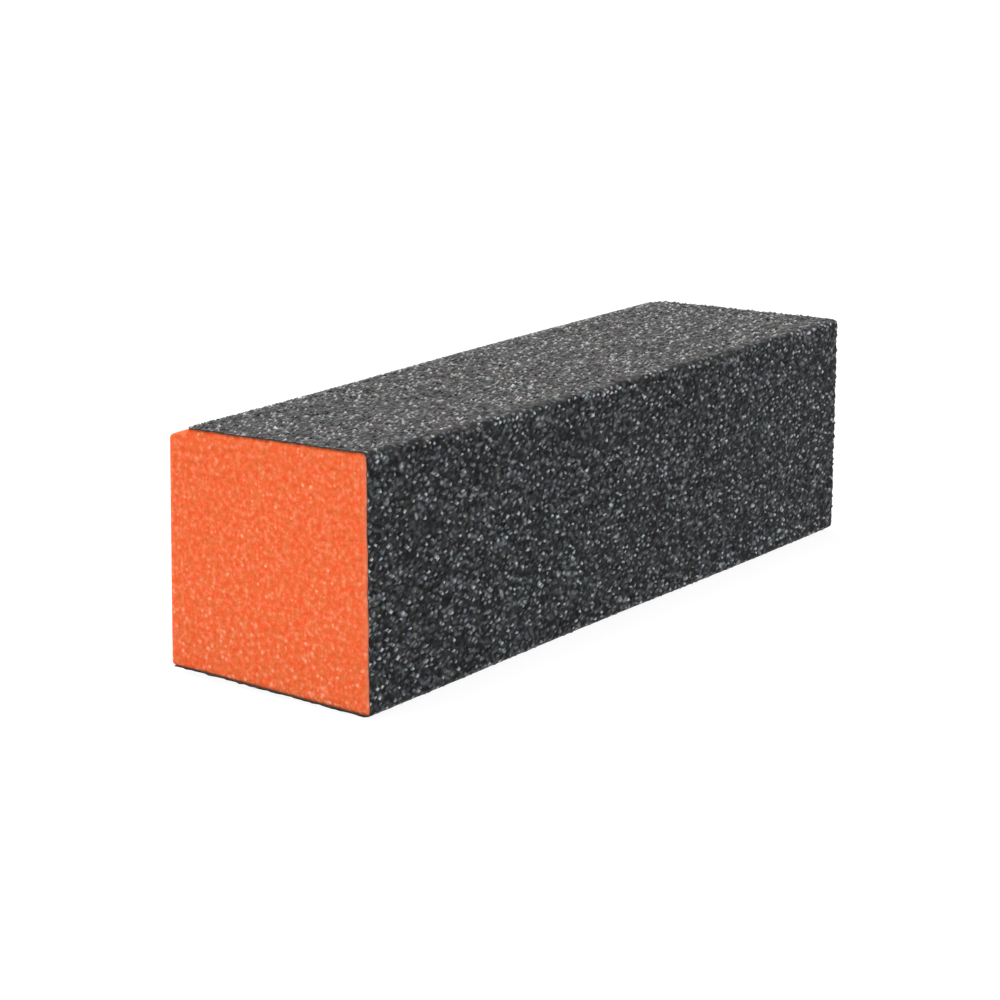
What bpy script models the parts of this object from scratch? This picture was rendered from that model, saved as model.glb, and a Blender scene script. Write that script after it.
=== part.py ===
"""Nail buffer block: an orange foam core in a black abrasive sheet that is glued on round three sides.

Metres, +Z up. The length runs along Y and the block lies on its lower working face at z = 0.
The sheet wraps the upper, +X and lower sides. The -X side and both cut ends are bare foam.
"""

import math

import bmesh
import bpy

# Overall size of the finished block.
BLOCK_WIDTH = 0.026
BLOCK_HEIGHT = 0.026
BLOCK_LENGTH = 0.090

# The wrap, from the outside in. Each layer stands clear of the next.
GRIT_THICKNESS = 0.0002
BACKING_THICKNESS = 0.0002
ADHESIVE_THICKNESS = 0.0001
LAYER_GAP = 0.0003

# Height of each layer's outer skin above the foam.
ADHESIVE_OFFSET = LAYER_GAP + ADHESIVE_THICKNESS
BACKING_OFFSET = ADHESIVE_OFFSET + LAYER_GAP + BACKING_THICKNESS
GRIT_OFFSET = BACKING_OFFSET + LAYER_GAP + GRIT_THICKNESS

# The foam core's section: bare on the left, wrapped below, on the right and above.
FOAM_LEFT = -BLOCK_WIDTH / 2
FOAM_RIGHT = BLOCK_WIDTH / 2 - GRIT_OFFSET
FOAM_BOTTOM = GRIT_OFFSET
FOAM_TOP = BLOCK_HEIGHT - GRIT_OFFSET

# The long upper edge over the bare side is pressed down to a shallow slope.
EASING_WIDTH = 0.0028
EASING_DROP = 0.0009
EASING_SLOPE = math.atan2(EASING_DROP, EASING_WIDTH)

CORNER_STEPS = 8


def clear_scene():
    for leftover in list(bpy.data.objects):
        bpy.data.objects.remove(leftover, do_unlink=True)


def make_collection(name):
    collection = bpy.data.collections.new(name)
    bpy.context.scene.collection.children.link(collection)
    return collection


def make_material(name, colour, roughness):
    material = bpy.data.materials.new(name)
    material.use_nodes = True
    shader = material.node_tree.nodes["Principled BSDF"]
    shader.inputs["Base Color"].default_value = (*colour, 1.0)
    shader.inputs["Roughness"].default_value = roughness
    shader.inputs["Metallic"].default_value = 0.0
    return material


def add_object(name, shape, collection, material):
    mesh = bpy.data.meshes.new(name)
    shape.to_mesh(mesh)
    shape.free()
    mesh.materials.append(material)
    piece = bpy.data.objects.new(name, mesh)
    collection.objects.link(piece)
    return piece


def corner_arc(centre, radius, start_degrees):
    """Points of a quarter turn, anticlockwise in the section from start_degrees."""
    points = []
    for step in range(CORNER_STEPS + 1):
        angle = math.radians(start_degrees + 90 * step / CORNER_STEPS)
        points.append((centre[0] + radius * math.cos(angle), centre[1] + radius * math.sin(angle)))
    return points


def wrap_section(offset):
    """The open (x, z) line that runs round the foam at this height above it.

    It starts at the lower bare edge, turns the two knife-cut corners of the foam as arcs and
    ends on the slope of the eased upper edge.
    """
    knee_x = FOAM_LEFT + EASING_WIDTH - offset * math.tan(EASING_SLOPE / 2)
    slope_end_z = FOAM_TOP - EASING_DROP + offset / math.cos(EASING_SLOPE)
    points = [(FOAM_LEFT, FOAM_BOTTOM - offset)]
    points += corner_arc((FOAM_RIGHT, FOAM_BOTTOM), offset, -90)
    points += corner_arc((FOAM_RIGHT, FOAM_TOP), offset, 0)
    points += [(knee_x, FOAM_TOP + offset), (FOAM_LEFT, slope_end_z)]
    return points


def make_wrap_layer(name, offset, thickness, collection, material):
    """A sheet bent round the foam, its outer skin at this offset and its thickness inside that."""
    shape = bmesh.new()
    front = [shape.verts.new((x, -BLOCK_LENGTH / 2, z)) for x, z in wrap_section(offset)]
    edges = [shape.edges.new(pair) for pair in zip(front, front[1:])]
    grown = bmesh.ops.extrude_edge_only(shape, edges=edges)["geom"]
    back = [element for element in grown if isinstance(element, bmesh.types.BMVert)]
    bmesh.ops.translate(shape, verts=back, vec=(0, BLOCK_LENGTH, 0))
    layer = add_object(name, shape, collection, material)
    layer.data.shade_smooth()
    layer.data.set_sharp_from_angle(angle=math.radians(30))
    wall = layer.modifiers.new("Wall", "SOLIDIFY")
    wall.thickness = thickness
    wall.offset = -1
    wall.use_even_offset = True
    return layer


def make_foam_core(collection, material):
    """The knife-cut foam block, with its upper left edge sliced to the easing's slope."""
    shape = bmesh.new()
    bmesh.ops.create_cube(shape, size=1)
    size = (FOAM_RIGHT - FOAM_LEFT, BLOCK_LENGTH, FOAM_TOP - FOAM_BOTTOM)
    bmesh.ops.scale(shape, vec=size, verts=shape.verts)
    middle = ((FOAM_RIGHT + FOAM_LEFT) / 2, 0, (FOAM_TOP + FOAM_BOTTOM) / 2)
    bmesh.ops.translate(shape, vec=middle, verts=shape.verts)
    cut = bmesh.ops.bisect_plane(
        shape,
        geom=list(shape.verts) + list(shape.edges) + list(shape.faces),
        plane_co=(FOAM_LEFT, 0, FOAM_TOP - EASING_DROP),
        plane_no=(-math.sin(EASING_SLOPE), 0, math.cos(EASING_SLOPE)),
        clear_outer=True,
    )
    rim = [element for element in cut["geom_cut"] if isinstance(element, bmesh.types.BMEdge)]
    bmesh.ops.edgeloop_fill(shape, edges=rim)
    bmesh.ops.recalc_face_normals(shape, faces=shape.faces)
    return add_object("foam_core", shape, collection, material)


def main():
    clear_scene()
    parts = make_collection("nail_buffer_block")
    make_foam_core(parts, make_material("orange_foam", (0.84, 0.16, 0.055), 0.85))
    make_wrap_layer(
        "adhesive_film",
        ADHESIVE_OFFSET,
        ADHESIVE_THICKNESS,
        parts,
        make_material("amber_adhesive", (0.62, 0.45, 0.22), 0.35),
    )
    make_wrap_layer(
        "backing_sheet",
        BACKING_OFFSET,
        BACKING_THICKNESS,
        parts,
        make_material("black_backing", (0.022, 0.02, 0.02), 0.75),
    )
    make_wrap_layer(
        "grit_coat",
        GRIT_OFFSET,
        GRIT_THICKNESS,
        parts,
        make_material("silicon_carbide_grit", (0.065, 0.068, 0.072), 0.5),
    )


main()
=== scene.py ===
"""Looks of the nail buffer block: cut orange foam, glue line, black abrasive sheet and its grit.

Metres, +Z up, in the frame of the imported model. Every visible layer is built here as fine mesh over the
place that its CAD solid holds: the section of the block is a line of points round its long sides, and
each layer is that line at its own depth, swept along the length.
"""

import math

import bpy
import numpy as np
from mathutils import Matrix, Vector, noise


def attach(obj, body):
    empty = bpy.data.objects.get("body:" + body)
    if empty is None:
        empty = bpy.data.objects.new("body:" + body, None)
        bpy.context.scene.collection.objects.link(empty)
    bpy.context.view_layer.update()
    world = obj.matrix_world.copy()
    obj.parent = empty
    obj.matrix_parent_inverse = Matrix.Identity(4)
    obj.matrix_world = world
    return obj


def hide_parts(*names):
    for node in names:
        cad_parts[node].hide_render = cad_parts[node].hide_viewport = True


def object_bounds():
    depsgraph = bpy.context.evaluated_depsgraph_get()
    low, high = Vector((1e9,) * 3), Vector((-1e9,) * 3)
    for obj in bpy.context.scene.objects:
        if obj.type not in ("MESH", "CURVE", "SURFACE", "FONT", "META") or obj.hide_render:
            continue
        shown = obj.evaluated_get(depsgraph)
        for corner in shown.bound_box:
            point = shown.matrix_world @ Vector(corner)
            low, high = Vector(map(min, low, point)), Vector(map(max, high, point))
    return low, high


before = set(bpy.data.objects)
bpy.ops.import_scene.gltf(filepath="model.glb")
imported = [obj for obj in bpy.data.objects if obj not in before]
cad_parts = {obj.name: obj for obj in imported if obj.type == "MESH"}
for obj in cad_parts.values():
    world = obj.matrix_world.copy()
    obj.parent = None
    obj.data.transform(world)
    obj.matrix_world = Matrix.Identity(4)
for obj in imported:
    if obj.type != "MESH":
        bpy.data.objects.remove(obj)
CAD_LOW, CAD_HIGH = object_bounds()
BODY = "root"

# The block, from the frame.
LEFT, FRONT, BOTTOM = CAD_LOW
RIGHT, BACK, TOP = CAD_HIGH
WIDTH = RIGHT - LEFT
LENGTH = BACK - FRONT
HEIGHT = TOP - BOTTOM
MM = 0.001

# Depth of each layer's outer face below the block's own, and how thick it is. Grains stand on the first.
GRIT_DEPTH, GRIT_THICKNESS = 0.070 * MM, 0.045 * MM
BACKING_DEPTH, BACKING_THICKNESS = 0.122 * MM, 0.090 * MM
ADHESIVE_DEPTH, ADHESIVE_THICKNESS = 0.220 * MM, 0.025 * MM
FOAM_DEPTH = 0.255 * MM
CORNER_RADIUS = 0.7 * MM
# The sheet stops a little short of the bare side.
LOWER_BORDER, UPPER_BORDER = 0.35 * MM, 0.22 * MM
# At the front end it has pulled back from the eased edge, which shows bare foam there.
PULL_BACK, PULL_BACK_ACROSS, PULL_BACK_ALONG = 2.5 * MM, 6.0 * MM, 2.2 * MM

# The upper edge over the bare side is pressed down, most at the front end.
EASING_WIDTH = 2.9 * MM
EASING_DROP_FRONT = 0.90 * MM
EASING_DROP_BACK = 0.40 * MM
EASING_REACH = 7 * MM
# The knife has pinched the sheet towards the foam beside the bare side: how hard, how far in and how deep.
PINCH, PINCH_REACH, PINCH_DEPTH = 0.45, 3.5 * MM, 1.5 * MM
# Hand-cut waviness, sideways and up and down: one long wave and two shorter ones round the section.
SWAY_LONG, SWAY_MIDDLE, SWAY_FINE = 0.10 * MM, 0.035 * MM, 0.02 * MM
HEAVE_LONG, HEAVE_MIDDLE, HEAVE_FINE = 0.08 * MM, 0.02 * MM, 0.01 * MM
# The back end is cut out of square: the bare side is this much shorter.
END_SKEW = 2.0 * MM
# The front end is out of square too. Its bare side leans in at the top and hangs short at the bottom,
# and its other upper corner stands proud.
END_LEAN, END_LIFT, END_RISE = 0.6 * MM, 0.6 * MM, 0.7 * MM

# The scale of the grains' heights, and how far in from the cuts and the upper border they are worn low.
GRAIN_RELIEF = 0.25 * MM
WORN_REACH = 0.9 * MM

# The foam's cells where the knife has opened them, and how far in from a rim they are still pressed shut.
CELL_SIZE, CELL_DEPTH = 0.46 * MM, 0.075 * MM
CUT_ROUGHNESS = 0.02 * MM
RIM_REACH = 0.5 * MM
# The knife leaves the rims of the ends a little rounded.
RIM_ROUND_DEPTH, RIM_ROUND_REACH = 0.16 * MM, 0.45 * MM
BARE_CORNER_RADIUS = 0.45 * MM

# Mesh pitches.
GRIT_PITCH, GRIT_PITCH_ALONG, HIDDEN_GRIT_PITCH = 0.262 * MM, 0.368 * MM, 0.60 * MM
END_PITCH = 0.19 * MM
SIDE_PITCH = 0.27 * MM
SHEET_PITCH = 0.5 * MM
# Steps round each corner of the grit coat, and stretches that hidden faces have along the block.
ARC_STEPS = 4
STATIONS = 15


# ---------------------------------------------------------------- shared shape


def smooth_step(t):
    """0 to 1 as t goes from 0 to 1, level at both ends."""
    t = np.clip(t, 0, 1)
    return t * t * (3 - 2 * t)


def slump(points):
    """Bends points of the ideal block to the real one: eased edge, ends out of square, waviness."""
    x, y, z = points.T
    along = (y - FRONT) / LENGTH
    drop = EASING_DROP_FRONT + (EASING_DROP_BACK - EASING_DROP_FRONT) * along
    reach = smooth_step((z - (TOP - EASING_REACH)) / EASING_REACH)
    edge = np.clip((LEFT + EASING_WIDTH - x) / EASING_WIDTH, 0, 1)
    lowered = drop * edge**1.3 * reach
    across, up = (RIGHT - x) / WIDTH, (z - BOTTOM) / HEIGHT
    y = y - END_SKEW * along * across
    near_front = (1 - along) ** 2
    lean = END_LEAN * near_front * across * up
    lift = near_front * (END_LIFT * across * (1 - up) + END_RISE * (1 - across) * up)
    pinch = PINCH * (1 - smooth_step((x - LEFT) / PINCH_REACH))
    below, above = TOP - z, z - BOTTOM
    z = z + pinch * (below * np.exp(-below / PINCH_DEPTH) - above * np.exp(-above / PINCH_DEPTH))
    phase = 2 * math.pi * along
    sway = SWAY_LONG * np.sin(1.3 * phase + 1.3) + SWAY_MIDDLE * np.sin(z / (1.1 * MM) + 1.5 * phase)
    sway += SWAY_FINE * np.sin(z / (0.42 * MM) - phase)
    heave = HEAVE_LONG * np.sin(0.9 * phase + 3.8) + HEAVE_MIDDLE * np.sin(x / (1.9 * MM) - 1.5 * phase)
    heave += HEAVE_FINE * np.sin(x / (0.6 * MM) + phase)
    return np.column_stack([x + lean + sway * (1 - across), y, z + lift - lowered + heave * up])


def pull_back(points):
    """Draws the sheet's upper border away from the eased edge near the front end."""
    x, y, z = points.T
    amount = PULL_BACK * np.exp(-np.clip(y - FRONT, 0, None) / PULL_BACK_ALONG)
    amount = amount * (1 - smooth_step((x - LEFT) / PULL_BACK_ACROSS)) * (z > (BOTTOM + TOP) / 2)
    return np.column_stack([x + amount, y, z])


def wrap_line(depth, pitch, pitch_below, arc_steps):
    """(x, z) points and outward normals round the wrapped sides, from the lower bare edge to the upper."""
    radius = CORNER_RADIUS - depth
    inner_x = RIGHT - CORNER_RADIUS
    low_z, high_z = BOTTOM + CORNER_RADIUS, TOP - CORNER_RADIUS
    runs = (
        ("line", (LEFT + LOWER_BORDER, BOTTOM + depth), (inner_x, BOTTOM + depth), (0, -1)),
        ("arc", (inner_x, low_z), -90, None),
        ("line", (RIGHT - depth, low_z), (RIGHT - depth, high_z), (1, 0)),
        ("arc", (inner_x, high_z), 0, None),
        ("line", (inner_x, TOP - depth), (LEFT + UPPER_BORDER, TOP - depth), (0, 1)),
    )
    places, normals = [], []
    for kind, first, second, normal in runs:
        if kind == "arc":
            count = arc_steps
        else:
            count = round(math.dist(first, second) / (pitch_below if normal == (0, -1) else pitch))
        for step in range(count):
            t = step / count
            if kind == "line":
                places.append([a + (b - a) * t for a, b in zip(first, second)])
                normals.append(normal)
            else:
                angle = math.radians(second + 90 * t)
                normals.append((math.cos(angle), math.sin(angle)))
                places.append((first[0] + radius * math.cos(angle), first[1] + radius * math.sin(angle)))
    places.append((LEFT + UPPER_BORDER, TOP - depth))
    normals.append((0, 1))
    return np.array(places), np.array(normals, float)


def make_piece(name, vertices, faces, node):
    mesh = bpy.data.meshes.new(name)
    mesh.from_pydata(vertices.tolist(), [], faces)
    mesh.update()
    piece = bpy.data.objects.new(name, mesh)
    bpy.context.scene.collection.objects.link(piece)
    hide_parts(node)
    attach(piece, BODY)
    return piece


def point_values(piece, name, values):
    """Stores one number per vertex, for the material to read."""
    attribute = piece.data.attributes.new(name, "FLOAT", "POINT")
    attribute.data.foreach_set("value", np.asarray(values, np.float32))


# ---------------------------------------------------------------- sheet layers


def swept_sheet(name, node, depth, thickness, end_gap, edge_gap, roughness, seed):
    """A closed thin sheet bent round the block, its cut edges a little ragged."""
    rng = np.random.default_rng(seed)
    outer, _ = wrap_line(depth, SHEET_PITCH, SHEET_PITCH, 2 * ARC_STEPS)
    inner, _ = wrap_line(depth + thickness, SHEET_PITCH, SHEET_PITCH, 2 * ARC_STEPS)
    columns = len(outer)
    rows = STATIONS + 1
    y = np.linspace(FRONT, BACK, rows)
    y[0] += end_gap
    y[-1] -= end_gap
    ragged = np.zeros((rows, columns))
    ragged[0] = rng.uniform(0, roughness, columns)
    ragged[-1] = -rng.uniform(0, roughness, columns)
    skins = []
    for line in (outer, inner):
        x = np.repeat(line[None, :, 0], rows, axis=0)
        z = np.repeat(line[None, :, 1], rows, axis=0)
        x[:, (0, -1)] += edge_gap + rng.uniform(0, roughness, (rows, 2))
        skins.append(np.stack([x, y[:, None] + ragged, z], axis=2).reshape(-1, 3))
    vertices = slump(pull_back(np.concatenate(skins)))
    under = rows * columns
    faces = []
    for row in range(rows - 1):
        for column in range(columns - 1):
            a = row * columns + column
            b, c, d = a + 1, a + columns + 1, a + columns
            faces.append((d, c, b, a))
            faces.append((b + under, c + under, d + under, a + under))
    ring = list(range(columns))
    ring += [row * columns + columns - 1 for row in range(1, rows)]
    ring += [(rows - 1) * columns + column for column in range(columns - 2, -1, -1)]
    ring += [row * columns for row in range(rows - 2, 0, -1)]
    for a, b in zip(ring, ring[1:] + ring[:1]):
        faces.append((b + under, a + under, a, b))
    return make_piece(name, vertices, faces, node)


# ---------------------------------------------------------------- grit


# Heights as shares of GRAIN_RELIEF: the least, and how much a point's own draw can add.
TIP_LEAST, TIP_SPREAD = 0.20, 0.50
REST_LEAST, REST_SPREAD = -0.12, 0.24
# How far a point slides from its place in the grid, as a share of the pitch.
SLIDE = 0.42
# How far the outermost points stray at a cut and at a border, in millimetres, inwards being positive.
CUT_STRAY, BORDER_STRAY = (-0.14, 0.12), (-0.02, 0.08)
# Typical brightness of a grain's tip, partly the crystal's own colour and partly a painted glint, of the
# resin between and of the coat's inner face.
TIP_SHINE, RESIN_SHINE, UNDER_SHINE = 0.234, 0.0215, 0.010
BRIGHTEST = 0.90
# What the painted haze on the upper face takes off the brightest tips and off everything, and the painted
# highlight it adds.
PAINTED_HAZE_CAP, PAINTED_HAZE_VEIL, PAINTED_HAZE_TONE = 0.25, 0.06, 0.021


def grit_coat():
    """The outer skin: crystals as one jagged facetted mesh, over a smooth inner face."""
    rng = np.random.default_rng(11)
    outer, normals = wrap_line(GRIT_DEPTH, GRIT_PITCH, HIDDEN_GRIT_PITCH, ARC_STEPS)
    inner, _ = wrap_line(GRIT_DEPTH + GRIT_THICKNESS, GRIT_PITCH, HIDDEN_GRIT_PITCH, ARC_STEPS)
    columns = len(outer)
    per_station = round(LENGTH / STATIONS / GRIT_PITCH_ALONG)
    rows = STATIONS * per_station + 1
    y = np.linspace(FRONT, BACK, rows)

    # A point that beats six neighbours is the tip of a grain, the rest are low crystals and resin.
    tall = rng.random((rows, columns))
    fenced = np.pad(tall, 1)
    beside = (fenced[:-2, 1:-1], fenced[2:, 1:-1], fenced[1:-1, :-2], fenced[1:-1, 2:])
    across_corner = (fenced[:-2, :-2], fenced[2:, 2:])
    tip = tall > np.maximum.reduce([*beside, *across_corner])
    height = GRAIN_RELIEF * np.where(tip, TIP_LEAST + TIP_SPREAD * tall, REST_LEAST + REST_SPREAD * tall)
    # They are worn low on the long corners and along the cuts, and pressed flat underneath.
    flat = np.abs(normals).max(axis=1) > 0.999
    height *= np.where(normals[:, 1] < -0.9, 0.35, np.where(flat, 1.0, 0.5))
    # They stand tallest on the upper face.
    height *= np.where(normals[:, 1] > 0.9, 1.35, 1.0)
    from_cut = np.minimum(y - FRONT, BACK - y)[:, None]
    from_side = np.hypot(*(outer - outer[-1]).T)[None, :]
    height *= 0.70 + 0.30 * smooth_step(from_cut / WORN_REACH)
    height *= 0.45 + 0.55 * smooth_step(from_side / WORN_REACH)
    spread = rng.normal(0, 1, (rows, columns))
    # A tip's brightness is partly its own colour and partly a painted glint; the resin between keeps its
    # own dark colour.
    shine = np.where(tip, TIP_SHINE * np.exp(0.90 * spread), RESIN_SHINE * np.exp(1.10 * spread))
    shine = shine.clip(0.002, BRIGHTEST)
    # A painted highlight lies on the upper face: a haze of glare where the light grazes it.
    painted_top_light = normals[:, 1].clip(0, 1)
    shine = np.minimum(shine, BRIGHTEST - PAINTED_HAZE_CAP * painted_top_light) * (1 - PAINTED_HAZE_VEIL * painted_top_light) + PAINTED_HAZE_TONE * painted_top_light
    slide_along = rng.uniform(-SLIDE, SLIDE, (rows, columns)) * GRIT_PITCH_ALONG
    slide_round = rng.uniform(-SLIDE, SLIDE, (rows, columns)) * GRIT_PITCH
    for edge in (0, -1):
        inwards = 1 if edge == 0 else -1
        slide_along[edge] = rng.uniform(*CUT_STRAY, columns) * MM * inwards
        slide_round[:, edge] = rng.uniform(*BORDER_STRAY, rows) * MM * inwards
    tangents = np.column_stack([-normals[:, 1], normals[:, 0]])
    x = outer[:, 0] + normals[:, 0] * height + tangents[:, 0] * slide_round
    z = outer[:, 1] + normals[:, 1] * height + tangents[:, 1] * slide_round
    skin = np.stack([x, y[:, None] + slide_along, z], axis=2).reshape(-1, 3)

    stations = np.linspace(FRONT, BACK, STATIONS + 1)
    x = np.repeat(inner[None, :, 0], STATIONS + 1, axis=0)
    z = np.repeat(inner[None, :, 1], STATIONS + 1, axis=0)
    under_skin = np.stack([x, np.repeat(stations[:, None], columns, axis=1), z], axis=2).reshape(-1, 3)
    vertices = slump(pull_back(np.concatenate([skin, under_skin])))

    # Each cell is two triangles, split so that its highest point stands apart.
    row, column = np.meshgrid(np.arange(rows - 1), np.arange(columns - 1), indexing="ij")
    a = (row * columns + column).ravel()
    b, c, d = a + 1, a + columns + 1, a + columns
    level = height.ravel()
    flip = np.maximum(level[a], level[c]) > np.maximum(level[b], level[d])
    first = np.where(flip[:, None], np.column_stack([a, d, b]), np.column_stack([a, c, b]))
    second = np.where(flip[:, None], np.column_stack([b, d, c]), np.column_stack([a, d, c]))
    faces = np.concatenate([first, second]).tolist()

    base = rows * columns
    for station in range(STATIONS):
        for column in range(columns - 1):
            a = base + station * columns + column
            faces.append((a + 1, a + columns + 1, a + columns, a))
    last_row, last_station = (rows - 1) * columns, base + STATIONS * columns
    for column in range(columns - 1):
        faces.append((base + column + 1, base + column, column, column + 1))
        a, b = last_row + column, last_station + column
        faces.append((b, b + 1, a + 1, a))
    for station in range(STATIONS):
        fine = [(station * per_station + step) * columns for step in range(per_station + 1)]
        low = base + station * columns
        faces.append((low, low + columns, *reversed(fine)))
        far = [index + columns - 1 for index in fine]
        faces.append((low + 2 * columns - 1, low + columns - 1, *far))
    piece = make_piece("grit_coat_grains", vertices, faces, "grit_coat")
    under_values = np.full(len(under_skin), UNDER_SHINE)
    point_values(piece, "shine", np.concatenate([shine.ravel(), under_values]))
    point_values(piece, "painted_top_light", np.concatenate([np.tile(painted_top_light, rows), under_values]))
    return piece


# ---------------------------------------------------------------- foam


def pore_depth(points, cell):
    """How deep the cut surface lies at each point: open bowls of the foam's cells between thin walls."""
    depths = np.empty(len(points))
    for index, point in enumerate(points):
        distances, seeds = noise.voronoi(Vector(point) / cell)
        # Full depth once clear of the wall, and each cell has a depth of its own.
        wall = min(1.0, (distances[1] - distances[0]) * 2.2)
        bowl = 0.35 + 0.65 * noise.cell(seeds[0] * 7.3)
        depths[index] = wall * abs(bowl)
    return depths


def rounded_square(u, v, size_u, size_v, radius, corners):
    """Moves grid points near the named corners of a rectangle onto a quarter disc."""
    u, v = u.copy(), v.copy()
    for high_u, high_v in corners:
        a = (u - (size_u - radius)) / radius if high_u else (radius - u) / radius
        b = (v - (size_v - radius)) / radius if high_v else (radius - v) / radius
        near = (a > 0) & (b > 0)
        a, b = np.clip(a, 0, 1), np.clip(b, 0, 1)
        round_a = a * np.sqrt(1 - b * b / 2)
        round_b = b * np.sqrt(1 - a * a / 2)
        new_u = size_u - radius + radius * round_a if high_u else radius - radius * round_a
        new_v = size_v - radius + radius * round_b if high_v else radius - radius * round_b
        u[near], v[near] = new_u[near], new_v[near]
    return u, v


def foam_core():
    """The knife-cut core: open cells on the ends and the bare side, plain faces under the sheet."""
    rng = np.random.default_rng(5)
    size_x, size_z = WIDTH - FOAM_DEPTH, HEIGHT - 2 * FOAM_DEPTH
    across, up = round(size_x / END_PITCH), round(size_z / END_PITCH)
    per_station = round(LENGTH / STATIONS / SIDE_PITCH)
    rows = STATIONS * per_station

    vertices, index_of = [], {}

    def add(key, place):
        index_of[key] = len(vertices)
        vertices.append(place)

    # Both ends, as grids over the section with its wrapped corners rounded.
    steps_u, steps_v = np.linspace(0, size_x, across + 1), np.linspace(0, size_z, up + 1)
    grid_u, grid_v = np.meshgrid(steps_u, steps_v, indexing="ij")
    inner_radius = CORNER_RADIUS - FOAM_DEPTH
    u, v = rounded_square(grid_u, grid_v, size_x, size_z, inner_radius, ((True, False), (True, True)))
    u, v = rounded_square(u, v, size_x, size_z, BARE_CORNER_RADIUS, ((False, False), (False, True)))
    for end, y, outward in (("front", FRONT, -1), ("back", BACK, 1)):
        rim = np.minimum.reduce([grid_u, size_x - grid_u, grid_v, size_z - grid_v])
        places = np.stack([LEFT + u, np.full_like(u, y), BOTTOM + FOAM_DEPTH + v], axis=2)
        depth = pore_depth(places.reshape(-1, 3), CELL_SIZE).reshape(rim.shape)
        sunk = CELL_DEPTH * depth * (0.4 + 0.6 * smooth_step(rim / RIM_REACH))
        sunk += RIM_ROUND_DEPTH * (1 - smooth_step(rim / RIM_ROUND_REACH))
        sunk += CUT_ROUGHNESS * rng.random(rim.shape)
        places[:, :, 1] -= outward * sunk
        for i in range(across + 1):
            for j in range(up + 1):
                add((end, i, j), places[i, j])

    # The bare side, whose first and last rows are the ends' own edges.
    y = np.linspace(FRONT, BACK, rows + 1)
    for row in range(1, rows):
        line = np.array([(LEFT + u[0, j], y[row], BOTTOM + FOAM_DEPTH + v[0, j]) for j in range(up + 1)])
        rim = np.minimum(np.arange(up + 1), up - np.arange(up + 1)) * END_PITCH
        depth = pore_depth(line, CELL_SIZE)
        line[:, 0] += CELL_DEPTH * depth * (0.3 + 0.7 * smooth_step(rim / RIM_REACH))
        line[:, 0] += CUT_ROUGHNESS * rng.random(up + 1)
        for j in range(up + 1):
            add(("side", row, j), line[j])

    # The faces under the sheet, one ring of points at each station.
    ring = [(i, 0) for i in range(1, across + 1)]
    ring += [(across, j) for j in range(1, up + 1)]
    ring += [(i, up) for i in range(across - 1, 0, -1)]
    for station in range(1, STATIONS):
        for i, j in ring:
            place = (LEFT + u[i, j], FRONT + LENGTH * station / STATIONS, BOTTOM + FOAM_DEPTH + v[i, j])
            add(("ring", station, i, j), np.array(place))

    def side(row, j):
        if row == 0:
            return index_of["front", 0, j]
        return index_of["back", 0, j] if row == rows else index_of["side", row, j]

    def under(station, i, j):
        if i == 0:
            return side(station * per_station, j)
        if station == 0:
            return index_of["front", i, j]
        return index_of["back", i, j] if station == STATIONS else index_of["ring", station, i, j]

    faces = []
    for i in range(across):
        for j in range(up):
            corners = ((i, j), (i + 1, j), (i + 1, j + 1), (i, j + 1))
            faces.append(tuple(index_of["front", *corner] for corner in corners))
            faces.append(tuple(index_of["back", *corner] for corner in reversed(corners)))
    for row in range(rows):
        for j in range(up):
            faces.append((side(row, j), side(row, j + 1), side(row + 1, j + 1), side(row + 1, j)))
    for station in range(STATIONS):
        for here, there in zip(ring, ring[1:]):
            far_edge = (under(station + 1, *here), under(station + 1, *there))
            faces.append((under(station, *here), *far_edge, under(station, *there)))
        for j, flip in ((0, False), (up, True)):
            fine = [side(station * per_station + step, j) for step in range(per_station + 1)]
            loop = fine + [under(station + 1, 1, j), under(station, 1, j)]
            faces.append(tuple(reversed(loop)) if flip else tuple(loop))
    piece = make_piece("foam_core_cut", slump(np.array(vertices)), faces, "foam_core")
    piece.data.shade_smooth()
    return piece


# ---------------------------------------------------------------- materials


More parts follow.
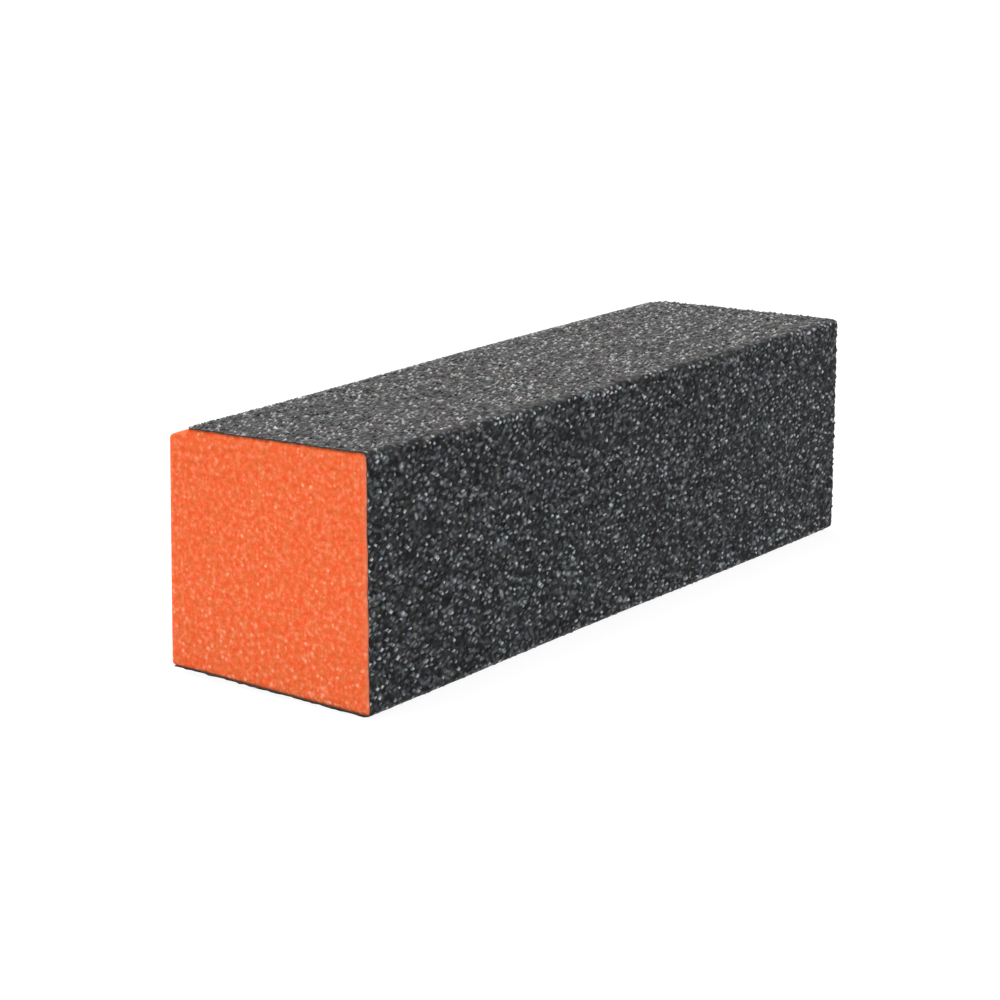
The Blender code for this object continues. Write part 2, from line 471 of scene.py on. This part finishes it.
class Nodes:
    """Short calls for building one material's node tree."""

    def __init__(self, name):
        self.material = bpy.data.materials.new(name)
        self.material.use_nodes = True
        self.tree = self.material.node_tree
        self.shader = self.tree.nodes["Principled BSDF"]
        self.place = self.tree.nodes.new("ShaderNodeTexCoord").outputs["Object"]

    def set(self, **values):
        for name, value in values.items():
            self.shader.inputs[name.replace("_", " ")].default_value = value

    def link(self, source, target):
        self.tree.links.new(source, target)

    def feed(self, name, source):
        """Drives one input of the shader."""
        self.link(source, self.shader.inputs[name])

    def cells(self, size, feature="F1"):
        node = self.tree.nodes.new("ShaderNodeTexVoronoi")
        node.feature = feature
        node.inputs["Scale"].default_value = 1 / size
        self.link(self.place, node.inputs["Vector"])
        return node

    def cloud(self, size, detail=3.0, roughness=0.6):
        node = self.tree.nodes.new("ShaderNodeTexNoise")
        node.inputs["Scale"].default_value = 1 / size
        node.inputs["Detail"].default_value = detail
        node.inputs["Roughness"].default_value = roughness
        self.link(self.place, node.inputs["Vector"])
        return node.outputs["Fac"]

    def point_value(self, name):
        node = self.tree.nodes.new("ShaderNodeAttribute")
        node.attribute_name = name
        return node.outputs["Fac"]

    def split(self, colour, channel="Red"):
        node = self.tree.nodes.new("ShaderNodeSeparateColor")
        self.link(colour, node.inputs["Color"])
        return node.outputs[channel]

    def span(self, axis, low, high):
        """0 to 1 along one axis of the block, between two places in metres."""
        parts = self.tree.nodes.new("ShaderNodeSeparateXYZ")
        self.link(self.place, parts.inputs["Vector"])
        node = self.tree.nodes.new("ShaderNodeMapRange")
        node.inputs["From Min"].default_value = low
        node.inputs["From Max"].default_value = high
        self.link(parts.outputs[axis], node.inputs["Value"])
        return node.outputs["Result"]

    def ramp(self, source, *stops):
        """stops are (position, value), each value a grey or a colour."""
        node = self.tree.nodes.new("ShaderNodeValToRGB")
        elements = node.color_ramp.elements
        while len(elements) < len(stops):
            elements.new(0.5)
        for element, (position, value) in zip(elements, stops):
            element.position = position
            element.color = (*value, 1) if isinstance(value, tuple) else (value, value, value, 1)
        self.link(source, node.inputs["Fac"])
        return node.outputs["Color"]

    def mix(self, kind, amount, first, second):
        node = self.tree.nodes.new("ShaderNodeMix")
        node.data_type = "RGBA"
        node.blend_type = kind
        # A Mix node's colours are its inputs 6 and 7 and its output 2.
        for value, socket in ((amount, node.inputs[0]), (first, node.inputs[6]), (second, node.inputs[7])):
            if isinstance(value, bpy.types.NodeSocket):
                self.link(value, socket)
            elif isinstance(value, tuple):
                socket.default_value = (*value, 1)
            else:
                socket.default_value = value
        return node.outputs[2]

    def bump(self, *layers):
        """layers are (height, distance in metres, strength), the coarsest first."""
        normal = None
        for height, distance, strength in layers:
            node = self.tree.nodes.new("ShaderNodeBump")
            node.inputs["Distance"].default_value = distance
            node.inputs["Strength"].default_value = strength
            self.link(height, node.inputs["Height"])
            if normal is not None:
                self.link(normal, node.inputs["Normal"])
            normal = node.outputs["Normal"]
        self.feed("Normal", normal)


# Sizes of what shows in the foam's colour: cells in a weak relief, tone, mottle, pale cells and their
# patches, and torn cells.
FINE_CELL, TONE_SIZE, MOTTLE_SIZE = 0.42 * MM, 0.60 * MM, 1.1 * MM
PALE_CELL, PATCH_SIZE, TORN_CELL = 0.50 * MM, 6 * MM, 0.95 * MM
# How far up torn cells and the darkening thin out, and where the painted edge highlight by the sheet starts
# and ends.
TORN_HEIGHT, DARKENING_HEIGHT = 12 * MM, 9 * MM
EDGE_HIGHLIGHT_START, EDGE_HIGHLIGHT_END = RIGHT - 0.75 * MM, RIGHT - 0.30 * MM


def foam_material():
    look = Nodes("cut_orange_foam")
    wall = look.cells(FINE_CELL, "DISTANCE_TO_EDGE").outputs["Distance"]
    tone = look.cloud(TONE_SIZE, 1.6, 0.62)
    mottle = look.ramp(look.cloud(MOTTLE_SIZE), (0.3, (0.735, 0.089, 0.0225)), (0.7, (0.640, 0.126, 0.033)))
    # Darker, more saturated spots in the tone: painted shade of the open pores.
    painted_pit_shade = look.ramp(tone, (0.28, (0.88, 0.79, 0.75)), (0.47, 1.0))
    colour = look.mix("MULTIPLY", 1.0, mottle, painted_pit_shade)
    specks = look.ramp(tone, (0.50, 0.0), (0.62, 0.16), (0.76, 0.40))
    colour = look.mix("MIX", specks, colour, (0.93, 0.36, 0.22))
    # Single cells that catch the light, in patches.
    dots = look.cells(PALE_CELL)
    near = look.ramp(dots.outputs["Distance"], (0.18, 1.0), (0.46, 0.0))
    chance = look.split(dots.outputs["Color"])
    light = look.ramp(chance, (0.30, 0.0), (0.80, 0.22), (0.95, 0.45), (1.0, 0.72))
    patch = look.ramp(look.cloud(PATCH_SIZE, 2.0), (0.36, 0.35), (0.62, 1.0))
    pale = look.mix("MULTIPLY", 1.0, look.mix("MULTIPLY", 1.0, near, light), patch)
    colour = look.mix("MIX", pale, colour, (0.96, 0.44, 0.27))
    # Larger torn cells, most of them along the lower edge.
    torn = look.cells(TORN_CELL)
    near = look.ramp(torn.outputs["Distance"], (0.12, 1.0), (0.32, 0.0))
    light = look.ramp(look.split(torn.outputs["Color"], "Green"), (0.40, 0.0), (0.90, 0.70))
    lower = look.ramp(look.span("Z", BOTTOM, BOTTOM + TORN_HEIGHT), (0.0, 1.0), (1.0, 0.24))
    torn_light = look.mix("MULTIPLY", 1.0, look.mix("MULTIPLY", 1.0, near, light), lower)
    colour = look.mix("MIX", torn_light, colour, (0.99, 0.53, 0.37))
    # Slightly darker towards the bottom.
    rise = look.span("Z", BOTTOM, BOTTOM + DARKENING_HEIGHT)
    darker_towards_bottom = look.ramp(rise, (0.0, (0.92, 0.935, 0.90)), (1.0, 1.0))
    colour = look.mix("MULTIPLY", 1.0, colour, darker_towards_bottom)
    # A painted highlight along the foam's edge beside the sheet, where the rim catches the light.
    painted_edge_highlight = look.ramp(look.span("X", EDGE_HIGHLIGHT_START, EDGE_HIGHLIGHT_END), (0.0, 0.0), (1.0, 0.42))
    colour = look.mix("MIX", painted_edge_highlight, colour, (0.90, 0.27, 0.145))
    look.feed("Base Color", colour)
    look.feed("Roughness", look.ramp(tone, (0.3, 0.85), (0.7, 0.6)))
    look.bump((wall, 0.12 * MM, 0.5), (look.cloud(0.12 * MM, 2.0), 0.04 * MM, 0.4))
    look.set(IOR=1.45, Specular_IOR_Level=0.12)
    return look.material


def grit_material():
    look = Nodes("silicon_carbide_grit")
    shine = look.point_value("shine")
    hue = look.mix("MIX", 0.14, (1.0, 1.0, 1.0), look.cells(0.7 * MM).outputs["Color"])
    # Painted light colour: a cool tint on the sides and a warmer one on the upper face, where the warm key
    # light falls.
    painted_light_tint = look.mix("MIX", look.point_value("painted_top_light"), (0.930, 0.990, 1.050), (0.972, 0.982, 1.012))
    colour = look.mix("MULTIPLY", 1.0, shine, look.mix("MULTIPLY", 1.0, hue, painted_light_tint))
    cloud = look.ramp(look.cloud(9 * MM, 4.0), (0.3, 0.92), (0.7, 1.08))
    colour = look.mix("MULTIPLY", 1.0, colour, cloud)
    look.feed("Base Color", colour)
    look.feed("Roughness", look.ramp(shine, (0.0, 0.62), (0.2, 0.42), (0.9, 0.25)))
    look.bump((look.cloud(0.10 * MM, 2.0), 0.02 * MM, 0.4))
    look.set(IOR=1.5, Specular_IOR_Level=0.05, Sheen_Weight=0.11, Sheen_Roughness=0.4)
    return look.material


def backing_material():
    look = Nodes("black_backing_paper")
    fibre = look.cloud(0.09 * MM, 4.0, 0.7)
    look.feed("Base Color", look.ramp(fibre, (0.3, (0.010, 0.009, 0.009)), (0.7, (0.040, 0.034, 0.032))))
    look.feed("Roughness", look.ramp(look.cloud(0.3 * MM), (0.3, 0.7), (0.7, 0.9)))
    look.bump((fibre, 0.03 * MM, 0.6))
    return look.material


def adhesive_material():
    look = Nodes("amber_adhesive")
    cloud = look.cloud(0.8 * MM, 3.0)
    look.feed("Base Color", look.ramp(cloud, (0.3, (0.16, 0.055, 0.02)), (0.7, (0.28, 0.10, 0.035))))
    look.feed("Roughness", look.ramp(cloud, (0.3, 0.35), (0.7, 0.55)))
    look.bump((look.cloud(0.2 * MM), 0.02 * MM, 0.4))
    return look.material


# ---------------------------------------------------------------- studio


CENTRE = (CAD_LOW + CAD_HIGH) / 2
CAMERA_AZIMUTH, CAMERA_ELEVATION = 36.193, 14.188
CAMERA_DISTANCE = 11.897 * WIDTH
CAMERA_SLIDE_X, CAMERA_SLIDE_Y = -0.1337 * WIDTH, -0.0807 * WIDTH
# In millimetres.
CAMERA_LENS, CAMERA_SENSOR = 100.2, 36
FLOOR_HALF, FLOOR_GAP, FLOOR_GLOW = 6.0, 0.15 * MM, 0.93
# The sky by the sine of its elevation: white up to the first, and dim from the second.
WHITE_BELOW, DIM_ABOVE = 0.20, 0.45


def towards(azimuth, elevation):
    """Unit vector from the block: azimuth 0 is off the front end and 90 is off the abrasive side."""
    a, e = math.radians(azimuth), math.radians(elevation)
    return Vector((math.sin(a) * math.cos(e), -math.cos(a) * math.cos(e), math.sin(e)))


def camera():
    data = bpy.data.cameras.new("camera")
    data.lens = CAMERA_LENS
    data.sensor_width = CAMERA_SENSOR
    data.clip_start, data.clip_end = 0.01, 20
    cam = bpy.data.objects.new("camera", data)
    back = towards(CAMERA_AZIMUTH, CAMERA_ELEVATION)
    turn = back.to_track_quat("Z", "Y")
    slide = turn @ Vector((CAMERA_SLIDE_X, CAMERA_SLIDE_Y, 0))
    cam.location = CENTRE + back * CAMERA_DISTANCE + slide
    cam.rotation_mode = "QUATERNION"
    cam.rotation_quaternion = turn
    bpy.context.scene.collection.objects.link(cam)
    bpy.context.scene.camera = cam


def lamp(name, azimuth, elevation, power, softness, colour):
    """A distant soft light: power falls on a surface that faces it, softness is its width in degrees."""
    data = bpy.data.lights.new(name, "SUN")
    data.energy = power * math.pi
    data.angle = math.radians(softness)
    data.color = colour
    light = bpy.data.objects.new(name, data)
    light.rotation_mode = "QUATERNION"
    light.rotation_quaternion = towards(azimuth, elevation).to_track_quat("Z", "Y")
    bpy.context.scene.collection.objects.link(light)


def studio():
    scene = bpy.context.scene
    scene.view_settings.view_transform = "Standard"

    # A white horizon that darkens overhead.
    world = bpy.data.worlds.new("studio")
    world.use_nodes = True
    tree = world.node_tree
    direction = tree.nodes.new("ShaderNodeTexCoord").outputs["Generated"]
    parts = tree.nodes.new("ShaderNodeSeparateXYZ")
    ramp = tree.nodes.new("ShaderNodeValToRGB")
    low_sky, high_sky = ramp.color_ramp.elements
    low_sky.position = WHITE_BELOW
    low_sky.color = (1.03, 1.03, 1.03, 1)
    high_sky.position = DIM_ABOVE
    high_sky.color = (0.25, 0.25, 0.26, 1)
    tree.links.new(direction, parts.inputs["Vector"])
    tree.links.new(parts.outputs["Z"], ramp.inputs["Fac"])
    tree.links.new(ramp.outputs["Color"], tree.nodes["Background"].inputs["Color"])
    scene.world = world

    lamp("key_above", azimuth=-70, elevation=66, power=1.50, softness=50, colour=(1.0, 0.968, 0.925))
    lamp("front_fill", azimuth=-8, elevation=28, power=0.20, softness=60, colour=(1.0, 1.0, 1.0))

    # A faintly glowing table just under the block.
    mesh = bpy.data.meshes.new("floor")
    corners = [(x * FLOOR_HALF, y * FLOOR_HALF, 0) for x, y in ((-1, -1), (1, -1), (1, 1), (-1, 1))]
    mesh.from_pydata(corners, [], [(0, 1, 2, 3)])
    floor = bpy.data.objects.new("floor", mesh)
    floor.location.z = BOTTOM - FLOOR_GAP
    scene.collection.objects.link(floor)
    look = Nodes("pale_light_table")
    look.feed("Base Color", look.ramp(look.cloud(0.4, 2.0), (0.3, 0.12), (0.7, 0.14)))
    look.set(Roughness=0.9, Specular_IOR_Level=0.1)
    look.set(Emission_Color=(1.0, 1.0, 1.0, 1.0), Emission_Strength=FLOOR_GLOW)
    mesh.materials.append(look.material)


def dress(piece, material):
    piece.data.materials.append(material)


camera()
studio()
dress(foam_core(), foam_material())
adhesive = swept_sheet(
    "adhesive_line",
    "adhesive_film",
    depth=ADHESIVE_DEPTH,
    thickness=ADHESIVE_THICKNESS,
    end_gap=0.12 * MM,
    edge_gap=0.10 * MM,
    roughness=0.06 * MM,
    seed=21,
)
dress(adhesive, adhesive_material())
backing = swept_sheet(
    "backing_paper",
    "backing_sheet",
    depth=BACKING_DEPTH,
    thickness=BACKING_THICKNESS,
    end_gap=0,
    edge_gap=0.02 * MM,
    roughness=0.13 * MM,
    seed=22,
)
dress(backing, backing_material())
dress(grit_coat(), grit_material())
